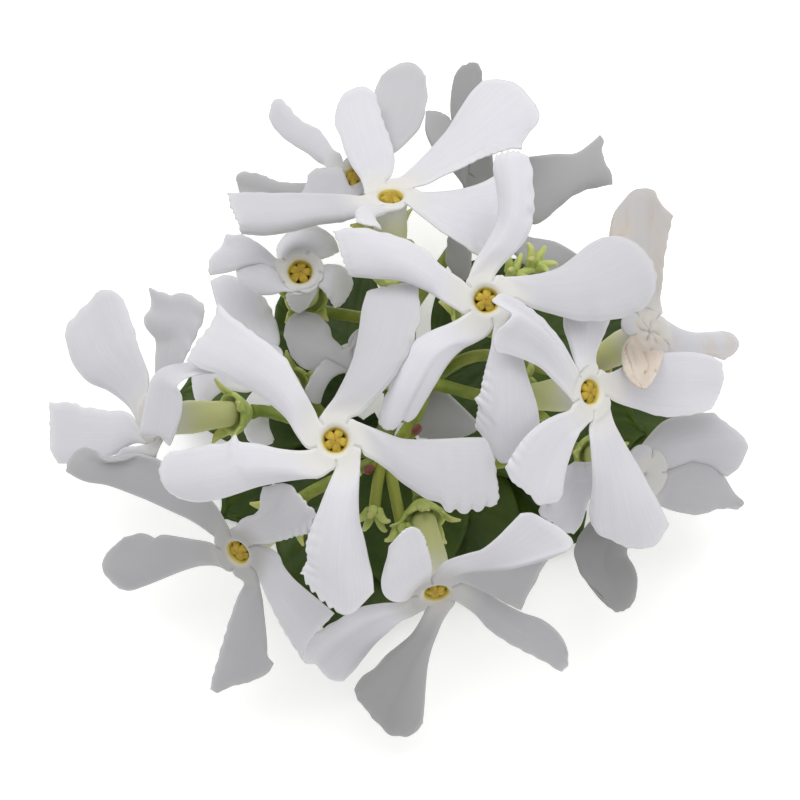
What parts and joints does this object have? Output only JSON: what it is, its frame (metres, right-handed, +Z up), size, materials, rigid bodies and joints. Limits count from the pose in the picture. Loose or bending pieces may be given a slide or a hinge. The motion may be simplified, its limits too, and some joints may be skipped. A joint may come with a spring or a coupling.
{
  "type": "star jasmine flower sprig",
  "caption": "Cut flowering sprig of star jasmine: a head of white pinwheel blooms with yellow throats on green pedicels, over dark leaves, lying on its stem and leaves.",
  "frame": {"origin": "on the surface that the sprig lies on, under the middle of its box", "axes": "+Z up, +Y towards the cut end of the stem, +X to the right of one who looks at the blooms from above and in front"},
  "size_m": [0.0533, 0.0537, 0.0334],
  "materials": {
    "petal": "matte",
    "anther": "matte",
    "calyx": "satin",
    "stem": "satin",
    "leaf": "satin"
  },
  "bodies": {
    "root": {"corolla_01": "petal", "anthers_01": "anther", "calyx_01": "calyx", "corolla_02": "petal", "anthers_02": "anther", "calyx_02": "calyx", "corolla_03": "petal", "anthers_03": "anther", "calyx_03": "calyx", "corolla_04": "petal", "anthers_04": "anther", "calyx_04": "calyx", "corolla_05": "petal", "anthers_05": "anther", "calyx_05": "calyx", "corolla_06": "petal", "anthers_06": "anther", "calyx_06": "calyx", "corolla_07": "petal", "anthers_07": "anther", "calyx_07": "calyx", "corolla_08": "petal", "anthers_08": "anther", "calyx_08": "calyx", "corolla_09": "petal", "anthers_09": "anther", "calyx_09": "calyx", "corolla_10": "petal", "anthers_10": "anther", "calyx_10": "calyx", "corolla_11": "petal", "anthers_11": "anther", "calyx_11": "calyx", "corolla_12": "petal", "anthers_12": "anther", "calyx_12": "calyx", "corolla_13": "petal", "anthers_13": "anther", "calyx_13": "calyx", "corolla_14": "petal", "anthers_14": "anther", "calyx_14": "calyx", "stem": "stem", "leaf_1": "leaf", "leaf_2": "leaf", "leaf_3": "leaf", "leaf_4": "leaf", "leaf_5": "leaf", "leaf_6": "leaf", "leaf_7": "leaf"}
  },
  "joints": []
}
